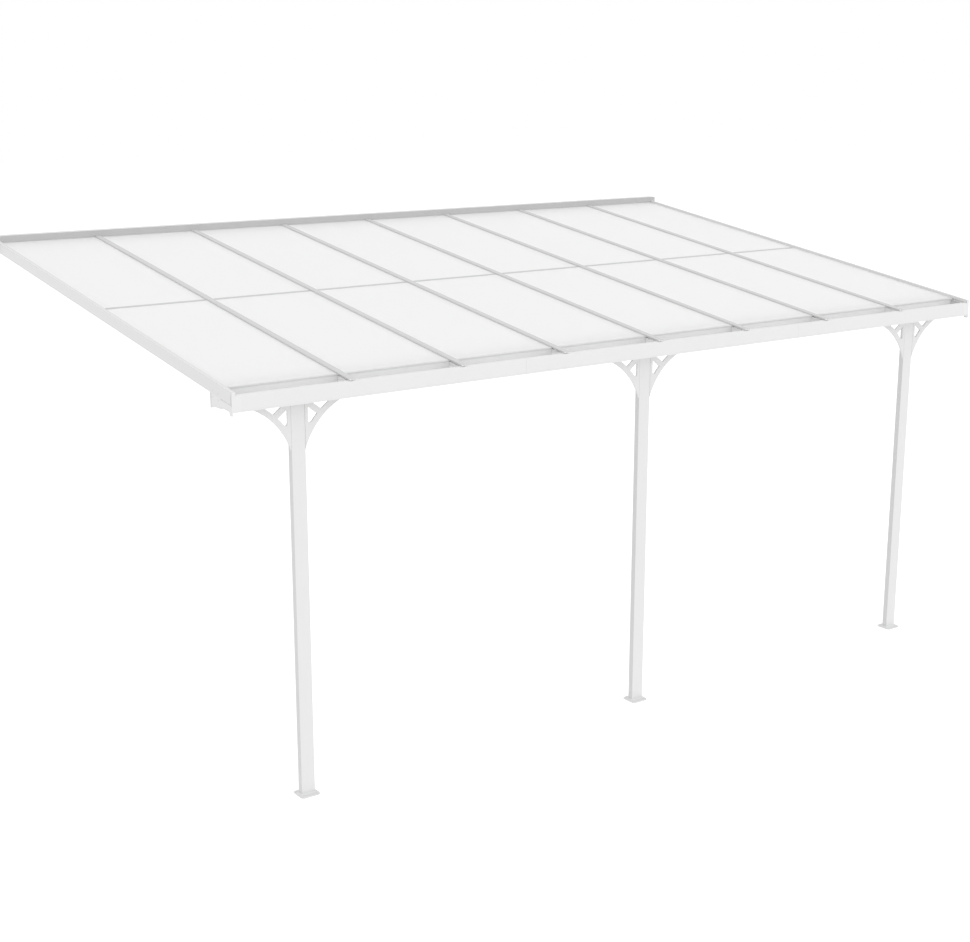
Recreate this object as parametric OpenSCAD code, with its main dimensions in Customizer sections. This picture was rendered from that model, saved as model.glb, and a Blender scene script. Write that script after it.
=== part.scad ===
/* [Cover] */
// Distance from one roof rafter to the next along the wall
bay_pitch = 760; // [700:5:800]
// Amount by which each end bay is narrower than the others
end_bay_cut = 15; // [0:1:40]
// Distance from the wall to the front face of the gutter beam
projection = 3660; // [3200:10:4000]
// Height of the rafter cap tips above the ground, at the front
front_h = 2498; // [2300:1:2700]
// Slope of the roof, in degrees
roof_slope = 7.93; // [6:0.01:10]
// Running clearance between pieces that seat on each other
seat_gap = 0.3; // [0.2:0.1:0.8]

/* [Posts] */
// Distance from an end of the cover to the middle of its outer post
post_inset = 475; // [380:5:800]
// Width of a post along the wall direction
post_w = 90; // [80:1:110]
// Depth of a post towards the wall
post_d = 40; // [36:1:50]
// Wall thickness of a post
post_wall = 2; // [1.5:0.1:3]
// Corner radius of a post
post_corner_r = 3; // [2.5:0.5:5]
// Distance from the front face of the gutter beam back to the middle of the posts
post_back = 167; // [160:1:175]
// Length of the spigots of the foot plates and heads inside a post
spigot_l = 60; // [40:1:90]
// Wall thickness of a spigot
spigot_wall = 3; // [2:0.5:4]
// Thickness of a head plate on top of a post
head_t = 5; // [4:0.5:8]

/* [Foot plates] */
// Width of a foot plate
foot_w = 126; // [120:1:150]
// Depth of a foot plate
foot_d = 120; // [112:1:140]
// Thickness of a foot plate
foot_t = 7; // [5:0.5:12]
// Corner radius of a foot plate
foot_corner_r = 20; // [8:1:24]
// Height of the sloping collar round the foot of a post
collar_h = 9; // [5:1:14]
// Wall thickness at the top of the collar
collar_wall = 3; // [2:0.5:5]
// Distance between anchor holes across a foot plate
anchor_dx = 90; // [80:1:96]
// Distance between anchor holes from front to back of a foot plate
anchor_dy = 84; // [78:1:90]
// Diameter of an anchor hole
anchor_hole_d = 11; // [9:0.5:13]

/* [Corbels] */
// Reach of a corbel along the gutter beam
corbel_reach = 262; // [240:1:280]
// Thickness of a corbel
corbel_t = 12; // [8:1:20]
// Radius of the arched lower edge of a corbel
arch_r = 444; // [430:1:460]
// Distance by which the arch's circle runs in behind the post face
arch_into_post = 24; // [15:1:35]
// Distance by which the arch's circle runs up past the beam's underside
arch_into_beam = 9; // [0:1:14]
// Width of the arched band
arch_band = 35; // [28:1:42]
// Width of the diagonal strut
strut_w = 36; // [28:1:44]
// Slope of the diagonal strut, in degrees
strut_slope = 37.6; // [34:0.2:42]
// Distance from the beam down to where the strut leaves the post
strut_down = 14; // [8:1:20]
// Width of the leg that screws to the post
post_leg = 20; // [14:1:26]
// Height of the leg that screws to the beam
beam_leg = 14; // [10:1:20]
// Radius of the fillets where the arched band meets the two legs
corbel_fillet_r = 13; // [4:1:16]

/* [Gutter beam] */
// Height of the gutter beam's front face, from the cap tips to its lower edge
fascia_h = 108; // [98:1:112]
// Overall depth of the gutter beam
gutter_d = 262; // [250:1:280]
// Clear width of the gutter trough
trough_w = 134; // [128:1:136]
// Wall thickness of the gutter beam
gutter_t = 3; // [2:0.5:4]
// Radius of the rolled top edge of the front face
roll_r = 14; // [8:1:18]
// Height of the lip that leans back at the foot of the front face
foot_lip_h = 15; // [10:1:20]
// Distance by which that lip leans back
foot_lip_back = 5; // [3:0.5:8]
// Width of the return lip under the front face
return_lip_w = 18; // [12:1:24]
// Depth of the trough floor's underside at the front
floor_front_drop = 78; // [74:1:84]
// Depth of the trough floor's underside at the back
floor_rear_drop = 98; // [94:1:100]
// Depth of the flat rail that the posts carry
rail_drop = 107; // [104:1:112]
// Width of the flat rail that the posts carry
rail_w = 58; // [54:1:70]
// Depth of the beam's lower back edge
rear_drop = 120; // [115:1:126]
// Distance from the left end of the cover to the left joint in the beam
left_seam_in = 1957; // [1900:1:2000]
// Distance from the right end of the cover to the right joint in the beam
right_seam_in = 1785; // [1730:1:1850]
// Width of a joint's gap
seam_gap = 1; // [0.5:0.5:3]
// Length of a splice inside a joint
splice_l = 160; // [120:5:240]
// Wall thickness of a splice
splice_t = 2; // [1.5:0.5:3]

/* [Closures] */
// Wall thickness of the closures under the panels' front edge
closure_t = 2; // [1.5:0.5:4]
// Length of a closure's foot along the roof
closure_foot = 26; // [16:1:40]

/* [Gutter end caps] */
// Width of a gutter end cap
end_cap_w = 60; // [54:1:70]
// Thickness of an end cap's outer plate
end_plate_t = 5; // [4:0.5:8]
// Length of box that an end cap's outer plate leaves open at the back
end_plate_short = 20; // [10:1:30]
// Depth of the drip lip's lower edge
drip_drop = 126; // [122:1:130]
// Width of the drip lip
drip_w = 34; // [28:1:40]

/* [Rafters] */
// Width of a rafter tube
rafter_w = 30; // [24:1:36]
// Height of a rafter tube
rafter_h = 42; // [36:1:44]
// Wall thickness of a rafter
rafter_wall = 2; // [1.5:0.1:2.5]
// Width of the flange that carries the panels
flange_w = 48; // [44:1:54]
// Thickness of the flange that carries the panels
flange_t = 2.4; // [2:0.1:3]
// Clear width of the snap channel for the cap
snap_w = 10; // [8:0.5:12]
// Wall thickness of the snap channel
snap_wall = 2; // [1.5:0.1:2.5]
// Width of a rafter cap
cap_w = 40; // [36:1:44]
// Height of a rafter cap above the panels
cap_h = 9; // [8:0.5:12]
// Wall thickness of a rafter cap
cap_t = 2.5; // [2:0.1:3]
// Depth to which a cap's snap legs reach
snap_leg_h = 14; // [12:0.5:15]

/* [Side rafters] */
// Rise of a side rafter above the rafter caps
side_rise = 6; // [3:0.5:8]
// Depth of a side rafter below the plane of the caps
side_drop = 68; // [66:1:80]
// Width of a side rafter's tube
side_w = 32; // [28:1:36]
// Width of a side rafter's raised edge
side_edge_w = 22; // [16:1:24]
// Width over the flange that carries the panel
side_flange_w = 44; // [40:1:48]
// Width over the lip that covers the panel's edge
side_lip_w = 32; // [28:1:36]

/* [Roof panels] */
// Thickness of a roof panel
panel_t = 8; // [6:0.5:10]
// Room for a panel's side edges to expand
panel_side_gap = 3; // [2:0.5:4]
// Distance from the front face of the beam to the panels' front edge
panel_front = 126; // [110:1:130]
// Distance from the front face of the beam to the middle of the cross joiner
joiner_back = 1773; // [1500:1:2000]
// Width of the cross joiner
joiner_w = 24; // [18:1:32]
// Wall thickness of the cross joiner and of the end trims
trim_t = 1.5; // [1:0.1:2]
// Length of panel that an end trim covers
trim_cover = 16; // [12:1:24]
// Room between a trim's end and the flange beside it
trim_side_gap = 0.6; // [0.3:0.1:1]

/* [Wall ledger] */
// Length by which the ledger stands out past each end of the cover
ledger_overhang = 24; // [10:1:60]
// Depth of the wall ledger
ledger_d = 90; // [80:1:100]
// Height of the wall ledger
ledger_h = 130; // [125:1:150]
// Rise of the ledger's top above the rafter caps
ledger_rise = 39; // [30:1:50]
// Wall thickness of the ledger
ledger_t = 3; // [2.5:0.5:5]
// Thickness of the ledger's back plate
ledger_back_t = 4; // [3:0.5:6]
// Thickness of a ledger end cap
ledger_cap_t = 3; // [2:0.5:5]
// Distance from the wall to the rafters' back ends
rafter_back_gap = 10; // [6:1:20]
// Distance from the wall to the panels' back edge
panel_back_gap = 20; // [12:1:30]
// Depth of the upper row of wall holes below the ledger's top
upper_hole_down = 20; // [14:1:24]
// Depth of the lower row of wall holes below the ledger's top
lower_hole_down = 112; // [108:1:116]
// Diameter of a wall hole
wall_hole_d = 8; // [6:0.5:10]

/* [Hidden] */
$fn = 64;

coat_white = [0.95, 0.95, 0.94];
panel_white = [0.90, 0.93, 0.94, 0.6];
moulded_white = [0.91, 0.91, 0.90];

rafter_count = 7;
bay_count = rafter_count + 1;

// Half of the width over the outer faces of the two side rafters
half_w = bay_count * bay_pitch / 2 - end_bay_cut;
post_spacing = half_w - post_inset;
left_seam_x = left_seam_in - half_w;
right_seam_x = half_w - right_seam_in;
ledger_end_x = half_w + ledger_overhang;

// Heights across the roof, square to its slope, from the plane of the rafter caps
panel_top_v = -(cap_h + seat_gap);
panel_under_v = panel_top_v - panel_t;
flange_v = panel_under_v - seat_gap;
tube_top_v = flange_v - flange_t;
rafter_under_v = tube_top_v - rafter_h;

// Distance up the slope for a distance back from the front face
function up_slope(back) = back / cos(roof_slope);

// Height above the cap tips of the layer v of the roof, at a distance back
function roof_rise(back, v) = back * tan(roof_slope) + v / cos(roof_slope);

// Places along the slope
ledger_face = projection - ledger_d;
joiner_s = up_slope(joiner_back);
panel_front_s = up_slope(panel_front);
panel_back_s = up_slope(projection - panel_back_gap);

// Heights of the ledger above the ground
ledger_top_z = front_h + roof_rise(ledger_face, 0) + ledger_rise;
ledger_mid_z = ledger_top_z - ledger_h / 2;

// Depths below the cap tips on the gutter beam
fascia_top_drop = (cap_h + seat_gap) / cos(roof_slope);
roll_z = -fascia_top_drop - roll_r;
lip_z = foot_lip_h - fascia_h;
box_front = gutter_t + trough_w;
rail_rear = box_front + rail_w;
under_slope = (rear_drop - rail_drop) / (gutter_d - rail_rear);

// Height of the trough floor's underside at a distance back
function floor_under(back) = -floor_front_drop - (floor_rear_drop - floor_front_drop) * back / box_front;

// Centre of a corbel's arch, out from the post and down from the beam
arch_out = arch_r - arch_into_post;
arch_down = arch_r - arch_into_beam;

// Height of the post tops
rail_z = front_h - rail_drop;
head_under_z = rail_z - seat_gap - head_t;
post_top_z = head_under_z - seat_gap;
post_under_z = foot_t + seat_gap;

// Room that the rafters' channels and flanges take from a bay
panel_edge = snap_w / 2 + snap_wall + panel_side_gap;
trim_edge = flange_w / 2 + trim_side_gap;
side_panel_edge = side_edge_w + panel_side_gap;
side_trim_edge = side_flange_w + trim_side_gap;

function rafter_x(i) = (i - (rafter_count + 1) / 2) * bay_pitch;
function bay_left(i, at_rafter, at_side) = i == 1 ? at_side - half_w : rafter_x(i - 1) + at_rafter;
function bay_right(i, at_rafter, at_side) = i == bay_count ? half_w - at_side : rafter_x(i) - at_rafter;

// The origin lies on the wall, at the middle of the ledger's back face
module above_ground() {
    translate([0, 0, -ledger_mid_z]) children();
}

// Starts at the cap tips, where x runs along the wall, y back and z up
module at_front() {
    above_ground() translate([0, -projection, front_h]) children();
}

// As at_front, with y up the slope and z square to the roof
module on_roof() {
    at_front() rotate([roof_slope, 0, 0]) children();
}

// Draws a profile of x and height along the slope
module along_slope(from, to) {
    translate([0, to, 0]) rotate([90, 0, 0]) linear_extrude(height = to - from) children();
}

// Draws a profile of depth and height along the wall
module along_wall(from, to) {
    translate([from, 0, 0]) rotate([90, 0, 90]) linear_extrude(height = to - from) children();
}

module rounded_rect(w, d, r) {
    square([w - 2 * r, d], center = true);
    square([w, d - 2 * r], center = true);
    for (x = [-1, 1], y = [-1, 1])
        translate([x * (w / 2 - r), y * (d / 2 - r)]) circle(r);
}

// Posts, with a foot plate below and a head above, each on a hollow spigot

module post_profile() {
    difference() {
        rounded_rect(post_w, post_d, post_corner_r);
        rounded_rect(post_w - 2 * post_wall, post_d - 2 * post_wall, post_corner_r - post_wall);
    }
}

module spigot_profile() {
    w = post_w - 2 * (post_wall + seat_gap);
    d = post_d - 2 * (post_wall + seat_gap);
    difference() {
        rounded_rect(w, d, post_corner_r - post_wall);
        square([w - 2 * spigot_wall, d - 2 * spigot_wall], center = true);
    }
}

module at_post(x) {
    above_ground() translate([x, post_back - projection, 0]) children();
}

module post(x) {
    color(coat_white) at_post(x)
        translate([0, 0, post_under_z])
            linear_extrude(height = post_top_z - post_under_z) post_profile();
}

// The four sides of the collar lean in at 45 degrees towards the post
module collar() {
    w = post_w / 2 + seat_gap + collar_wall;
    d = post_d / 2 + seat_gap + collar_wall;
    difference() {
        linear_extrude(height = collar_h)
            square([2 * (w + collar_h), 2 * (d + collar_h)], center = true);
        for (turn = [0, 90, 180, 270])
            rotate(turn) translate([turn % 180 == 0 ? w : d, 0, collar_h])
                rotate([0, 45, 0]) translate([0, -foot_w, 0]) cube([foot_w, 2 * foot_w, foot_w]);
        translate([0, 0, -collar_h])
            linear_extrude(height = 3 * collar_h)
                rounded_rect(post_w + 2 * seat_gap, post_d + 2 * seat_gap, post_corner_r);
    }
}

module foot_plate(x) {
    color(coat_white) at_post(x) {
        translate([0, 0, foot_t]) collar();
        linear_extrude(height = foot_t) difference() {
            rounded_rect(foot_w, foot_d, foot_corner_r);
            for (i = [-1, 1], j = [-1, 1])
                translate([i * anchor_dx / 2, j * anchor_dy / 2]) circle(d = anchor_hole_d);
        }
        linear_extrude(height = foot_t + spigot_l) spigot_profile();
    }
}

module post_head(x) {
    color(coat_white) at_post(x) {
        translate([0, 0, head_under_z])
            linear_extrude(height = head_t) rounded_rect(post_w, post_d, post_corner_r);
        translate([0, 0, head_under_z - spigot_l])
            linear_extrude(height = spigot_l + head_t) spigot_profile();
    }
}

// Corbels, drawn from the corner of post and beam, out to the right and down

module arch_disc(r) {
    translate([arch_out, -arch_down]) circle(r, $fn = 180);
}

// Fills the corner of a leg and the band, where out and along lead to the centre of the arch
module leg_fillet(leg, out, along) {
    r = arch_r + arch_band + corbel_fillet_r;
    u = leg + corbel_fillet_r;
    w = along - sqrt(r * r - (out - u) * (out - u));
    into_band = (corbel_fillet_r + arch_band / 2) / r;
    difference() {
        polygon([
            [leg / 2, w],
            [u, w],
            [u + (out - u) * into_band, w + (along - w) * into_band],
            [leg / 2, w + 2 * arch_band]
        ]);
        translate([u, w]) circle(corbel_fillet_r);
    }
}

module corbel_profile() {
    drop = arch_down;
    intersection() {
        translate([0, -drop]) square([corbel_reach, drop]);
        difference() {
            union() {
                translate([0, -drop]) square([post_leg, drop]);
                translate([0, -beam_leg]) square([corbel_reach, beam_leg]);
                difference() {
                    arch_disc(arch_r + arch_band);
                    arch_disc(arch_r);
                }
                mirror([0, 1]) leg_fillet(post_leg, arch_out, arch_down);
                rotate(-90) leg_fillet(beam_leg, arch_down, arch_out);
                translate([0, -strut_down]) rotate(-strut_slope)
                    translate([0, -strut_w / 2]) square([corbel_reach, strut_w]);
            }
            arch_disc(arch_r);
        }
    }
}

// A corbel lies flush with the front face of its post
module corbel(x, side) {
    color(coat_white) at_post(x)
        translate([side * (post_w / 2 + seat_gap), corbel_t - post_d / 2, rail_z - seat_gap])
            mirror([side < 0 ? 1 : 0, 0, 0])
                rotate([90, 0, 0]) linear_extrude(height = corbel_t) corbel_profile();
}

// Gutter beam: a front face, an open trough and a two-cell box that the rafters and posts meet

function box_outline(top_front, top_rear, inset) = [
    [box_front + inset, top_front - inset],
    [gutter_d - inset, top_rear - inset],
    [gutter_d - inset, inset - rear_drop],
    [rail_rear, inset - rail_drop],
    [box_front + inset, inset - rail_drop]
];

// The front face is rolled back at its top
module roll_profile() {
    difference() {
        union() {
            translate([0, roll_z - roll_r]) square(roll_r);
            translate([roll_r, roll_z]) circle(roll_r);
        }
        translate([roll_r, roll_z]) circle(roll_r - gutter_t);
        translate([gutter_t, roll_z - 2 * roll_r]) square([2 * roll_r, 2 * roll_r]);
        translate([roll_r, roll_z - roll_r]) square([2 * roll_r, 3 * roll_r]);
    }
}

module gutter_profile(top_front, top_rear) {
    roll_profile();
    difference() {
        polygon([
            [0, roll_z],
            [0, lip_z],
            [foot_lip_back, -fascia_h],
            [return_lip_w, -fascia_h],
            [return_lip_w, gutter_t - fascia_h],
            [foot_lip_back + gutter_t, gutter_t - fascia_h],
            [gutter_t, lip_z],
            [gutter_t, floor_under(gutter_t)],
            [box_front, floor_under(box_front)],
            [box_front, -rail_drop],
            [rail_rear, -rail_drop],
            [gutter_d, -rear_drop],
            [gutter_d, top_rear],
            [box_front, top_front],
            [box_front, floor_under(box_front) + gutter_t],
            [gutter_t, floor_under(gutter_t) + gutter_t],
            [gutter_t, roll_z]
        ]);
        difference() {
            polygon(box_outline(top_front, top_rear, gutter_t));
            translate([rail_rear, -rear_drop]) square([gutter_t, rear_drop]);
        }
    }
}

box_top_front = roof_rise(box_front, rafter_under_v) - seat_gap;
box_top_rear = roof_rise(gutter_d, rafter_under_v) - seat_gap;
beam_end_x = half_w - end_cap_w - seat_gap;

module gutter_beam(from, to) {
    color(coat_white) at_front()
        along_wall(from, to) gutter_profile(box_top_front, box_top_rear);
}

// A splice is a sleeve in each cell of the box and a liner in the trough

module sleeve_profile(inset) {
    difference() {
        polygon(box_outline(box_top_front, box_top_rear, gutter_t + inset));
        translate([rail_rear - inset, -rear_drop])
            square([gutter_d, rear_drop + box_top_rear]);
    }
}

module liner_profile() {
    left = gutter_t + seat_gap;
    right = box_front - seat_gap;
    low_left = floor_under(left) + gutter_t + seat_gap;
    low_right = floor_under(right) + gutter_t + seat_gap;
    polygon([
        [left, low_left],
        [right, low_right],
        [right, low_right + splice_t],
        [left, low_left + splice_t]
    ]);
}

module gutter_splice(x) {
    color(coat_white) at_front()
        along_wall(x - splice_l / 2, x + splice_l / 2) {
            difference() {
                sleeve_profile(seat_gap);
                sleeve_profile(seat_gap + splice_t);
            }
            liner_profile();
        }
}

// An end cap carries on the beam's profile under the side rafter and closes it with a plate

// Height of the seat that carries a side rafter, which slopes as the roof does
function end_seat(back) = roof_rise(back, -side_drop) - seat_gap;

module end_plate_profile() {
    lip_r = gutter_t * 2;
    plate_rear = gutter_d - end_plate_short;
    inset = gutter_t / 2;
    polygon([
        [0, lip_z],
        [0, end_seat(0) - inset],
        [plate_rear, end_seat(plate_rear) - inset],
        [plate_rear, inset - rail_drop - under_slope * (plate_rear - rail_rear)],
        [rail_rear, inset - rail_drop],
        [box_front + inset, inset - rail_drop],
        [box_front + inset, floor_under(box_front)],
        [foot_lip_back, -fascia_h]
    ]);
    translate([0, lip_r - drip_drop]) square([drip_w, drip_drop - lip_r - floor_front_drop]);
    translate([lip_r, -drip_drop]) square([drip_w - 2 * lip_r, drip_drop - floor_front_drop]);
    for (a = [lip_r, drip_w - lip_r])
        translate([a, lip_r - drip_drop]) circle(lip_r);
}

// A tab on the end cap's front closes the end of the side rafter's raised edge
module end_tab_profile() {
    low = roll_z + roll_r / 2;
    translate([0, low]) square([gutter_t, roof_rise(gutter_t, side_rise) - low]);
}

module gutter_end_cap(side) {
    color(moulded_white) at_front() mirror([side < 0 ? 1 : 0, 0, 0]) {
        along_wall(half_w - end_cap_w, half_w)
            gutter_profile(end_seat(box_front), end_seat(gutter_d));
        along_wall(half_w - end_plate_t, half_w) end_plate_profile();
        along_wall(half_w - side_edge_w, half_w) end_tab_profile();
    }
}

// Wall ledger: a back plate, a hood over the roof's back edge and a sloping shelf under it

function shelf_z(back) = front_h + roof_rise(back, rafter_under_v) - seat_gap;

hood_under_z = front_h + roof_rise(ledger_face + ledger_t, panel_top_v) + seat_gap;

module ledger_profile() {
    polygon([
        [0, ledger_top_z],
        [-ledger_d, ledger_top_z],
        [-ledger_d, hood_under_z],
        [ledger_t - ledger_d, hood_under_z],
        [ledger_t - ledger_d, ledger_top_z - ledger_t],
        [-ledger_back_t, ledger_top_z - ledger_t],
        [-ledger_back_t, shelf_z(projection - ledger_back_t)],
        [-ledger_d, shelf_z(ledger_face)],
        [-ledger_d, shelf_z(ledger_face) - ledger_t],
        [-ledger_back_t, shelf_z(projection) - 3 * ledger_t],
        [-ledger_back_t, ledger_top_z - ledger_h],
        [0, ledger_top_z - ledger_h]
    ]);
}

module wall_ledger() {
    rows = [upper_hole_down, lower_hole_down];
    color(coat_white) above_ground() difference() {
        along_wall(ledger_cap_t - ledger_end_x, ledger_end_x - ledger_cap_t) ledger_profile();
        for (i = [1:bay_count], down = rows)
            translate([rafter_x(i) - bay_pitch / 2, 0, ledger_top_z - down])
                rotate([90, 0, 0])
                    cylinder(d = wall_hole_d, h = 3 * ledger_back_t, center = true);
    }
}

module ledger_end_cap(side) {
    color(moulded_white) above_ground() mirror([side < 0 ? 1 : 0, 0, 0])
        along_wall(ledger_end_x - ledger_cap_t + seat_gap, ledger_end_x) polygon([
            [0, ledger_top_z],
            [-ledger_d, ledger_top_z],
            [-ledger_d, shelf_z(ledger_face) - ledger_t],
            [-ledger_back_t, shelf_z(projection) - 3 * ledger_t],
            [-ledger_back_t, ledger_top_z - ledger_h],
            [0, ledger_top_z - ledger_h]
        ]);
}

// Rafters: a tube under a flange, with a channel on top that the cap snaps into

module rafter_tube_profile() {
    translate([-flange_w / 2, tube_top_v]) square([flange_w, flange_t]);
    difference() {
        translate([-rafter_w / 2, rafter_under_v]) square([rafter_w, rafter_h + flange_t / 2]);
        translate([rafter_wall - rafter_w / 2, rafter_under_v + rafter_wall])
            square([rafter_w - 2 * rafter_wall, rafter_h - rafter_wall]);
    }
}

module snap_channel_profile() {
    for (side = [-1, 1])
        translate([side * (snap_w + snap_wall) / 2 - snap_wall / 2, flange_v - flange_t / 2])
            square([snap_wall, flange_t / 2 - flange_v - cap_t - 2 * seat_gap]);
}

module rafter(i) {
    back_s = up_slope(projection - rafter_back_gap);
    front_s = up_slope(roll_r + seat_gap) - tan(roof_slope) * panel_top_v;
    color(coat_white) on_roof() translate([rafter_x(i), 0, 0]) {
        along_slope(front_s, back_s) rafter_tube_profile();
        along_slope(front_s, up_slope(ledger_face - seat_gap)) snap_channel_profile();
    }
}

module cap_profile() {
    chamfer = cap_t * 0.6;
    polygon([
        [-cap_w / 2, -cap_h],
        [-cap_w / 2, -chamfer],
        [chamfer - cap_w / 2, 0],
        [cap_w / 2 - chamfer, 0],
        [cap_w / 2, -chamfer],
        [cap_w / 2, -cap_h],
        [cap_w / 2 - cap_t, -cap_h],
        [cap_w / 2 - cap_t, -cap_t],
        [cap_t - cap_w / 2, -cap_t],
        [cap_t - cap_w / 2, -cap_h]
    ]);
    for (side = [-1, 1])
        translate([side * (snap_w - snap_wall) / 2 - side * seat_gap - snap_wall / 2, -snap_leg_h])
            square([snap_wall, snap_leg_h - cap_t / 2]);
}

module rafter_caps() {
    color(coat_white) on_roof()
        for (i = [1:rafter_count])
            translate([rafter_x(i), 0, 0])
                along_slope(0, up_slope(ledger_face - seat_gap)) cap_profile();
}

// Side rafters, drawn from the outer face inwards

module side_rafter_profile() {
    difference() {
        union() {
            translate([0, -side_drop]) square([side_w, side_drop + flange_v]);
            translate([0, tube_top_v]) square([side_edge_w, side_rise - tube_top_v]);
            translate([0, tube_top_v]) square([side_flange_w, flange_t]);
            translate([0, panel_top_v + seat_gap]) square([side_lip_w, cap_t]);
        }
        translate([rafter_wall, rafter_wall - side_drop])
            square([side_w - 2 * rafter_wall, side_drop + tube_top_v - rafter_wall]);
        translate([rafter_wall, flange_v])
            square([side_edge_w - 2 * rafter_wall, side_rise - rafter_wall - flange_v]);
    }
}

// The side rafter is cut back behind the rolled front of the end cap
module side_rafter(side) {
    front_s = up_slope(gutter_t + seat_gap) + tan(roof_slope) * side_rise;
    color(coat_white) mirror([side < 0 ? 1 : 0, 0, 0]) difference() {
        on_roof() translate([half_w, 0, 0]) mirror([1, 0, 0])
            along_slope(front_s, up_slope(ledger_face - seat_gap)) side_rafter_profile();
        at_front() translate([half_w - gutter_d, -gutter_d, seat_gap - fascia_top_drop - gutter_d])
            cube([2 * gutter_d, gutter_d + roll_r + seat_gap, gutter_d]);
    }
}

// Roof panels, a back and a front one in each bay, with a joiner between and a trim in front

module roof_panels(i) {
    left = bay_left(i, panel_edge, side_panel_edge);
    right = bay_right(i, panel_edge, side_panel_edge);
    web_room = trim_t / 2 + seat_gap;
    color(panel_white) on_roof() translate([left, 0, panel_under_v]) {
        translate([0, panel_front_s, 0])
            cube([right - left, joiner_s - web_room - panel_front_s, panel_t]);
        translate([0, joiner_s + web_room, 0])
            cube([right - left, panel_back_s - joiner_s - web_room, panel_t]);
    }
}

module across_bay(i) {
    left = bay_left(i, trim_edge, side_trim_edge);
    right = bay_right(i, trim_edge, side_trim_edge);
    translate([left, 0, 0]) rotate([90, 0, 90]) linear_extrude(height = right - left) children();
}

module joiner_profile() {
    for (v = [panel_top_v + seat_gap, panel_under_v - seat_gap - trim_t])
        translate([joiner_s - joiner_w / 2, v]) square([joiner_w, trim_t]);
    translate([joiner_s - trim_t / 2, panel_under_v - seat_gap - trim_t / 2])
        square([trim_t, panel_t + 2 * seat_gap + trim_t]);
}

module panel_joiners() {
    color(coat_white) on_roof()
        for (i = [1:bay_count]) across_bay(i) joiner_profile();
}

module end_trim_profile() {
    low = panel_under_v - seat_gap - trim_t;
    front = panel_front_s - seat_gap - trim_t;
    for (v = [panel_top_v + seat_gap, low])
        translate([front, v]) square([trim_cover, trim_t]);
    translate([front, low]) square([trim_t, panel_t + 2 * (seat_gap + trim_t)]);
}

module panel_end_trims() {
    color(coat_white) on_roof()
        for (i = [1:bay_count]) across_bay(i) end_trim_profile();
}

// Closures stand on the beam behind the trough and shut the gap below the panels' front edge

module closure_profile() {
    foot_s = (box_front + seat_gap + rafter_under_v * sin(roof_slope)) / cos(roof_slope);
    top_v = tube_top_v - seat_gap;
    translate([foot_s, rafter_under_v]) square([closure_t, top_v - rafter_under_v]);
    translate([foot_s, rafter_under_v]) square([closure_foot, closure_t]);
    translate([foot_s, top_v - closure_t]) square([closure_foot / 2, closure_t]);
}

module gutter_closures() {
    at_rafter = rafter_w / 2 + trim_side_gap;
    at_side = side_w + trim_side_gap;
    color(coat_white) on_roof()
        for (i = [1:bay_count])
            translate([bay_left(i, at_rafter, at_side), 0, 0]) rotate([90, 0, 90])
                linear_extrude(height = bay_right(i, at_rafter, at_side) - bay_left(i, at_rafter, at_side))
                    closure_profile();
}

post(-post_spacing);  // post_left
post(0);  // post_middle
post(post_spacing);  // post_right
foot_plate(-post_spacing);  // foot_plate_left
foot_plate(0);  // foot_plate_middle
foot_plate(post_spacing);  // foot_plate_right
post_head(-post_spacing);  // post_head_left
post_head(0);  // post_head_middle
post_head(post_spacing);  // post_head_right
corbel(-post_spacing, -1);  // corbel_left_outer
corbel(-post_spacing, 1);  // corbel_left_inner
corbel(0, -1);  // corbel_middle_left
corbel(0, 1);  // corbel_middle_right
corbel(post_spacing, -1);  // corbel_right_inner
corbel(post_spacing, 1);  // corbel_right_outer
gutter_beam(-beam_end_x, left_seam_x - seam_gap / 2);  // gutter_beam_left
gutter_beam(left_seam_x + seam_gap / 2, right_seam_x - seam_gap / 2);  // gutter_beam_middle
gutter_beam(right_seam_x + seam_gap / 2, beam_end_x);  // gutter_beam_right
gutter_splice(left_seam_x);  // gutter_splice_left
gutter_splice(right_seam_x);  // gutter_splice_right
gutter_end_cap(-1);  // gutter_end_cap_left
gutter_end_cap(1);  // gutter_end_cap_right
wall_ledger();
ledger_end_cap(-1);  // ledger_end_cap_left
ledger_end_cap(1);  // ledger_end_cap_right
rafter(1);  // rafter_1
rafter(2);  // rafter_2
rafter(3);  // rafter_3
rafter(4);  // rafter_4
rafter(5);  // rafter_5
rafter(6);  // rafter_6
rafter(7);  // rafter_7
side_rafter(-1);  // side_rafter_left
side_rafter(1);  // side_rafter_right
rafter_caps();
panel_joiners();
panel_end_trims();
gutter_closures();
roof_panels(1);  // roof_panels_bay_1
roof_panels(2);  // roof_panels_bay_2
roof_panels(3);  // roof_panels_bay_3
roof_panels(4);  // roof_panels_bay_4
roof_panels(5);  // roof_panels_bay_5
roof_panels(6);  // roof_panels_bay_6
roof_panels(7);  // roof_panels_bay_7
roof_panels(8);  // roof_panels_bay_8
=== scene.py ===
# %% [markdown]
# # An attached patio cover
# This lesson dresses the solids of a lean-to patio cover in Blender. The solids already have their
# true size and place, so the work here is finish, light and the small hardware.

# %% Load the frame
import math

import bmesh
import bpy
from mathutils import Matrix, Vector


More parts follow.
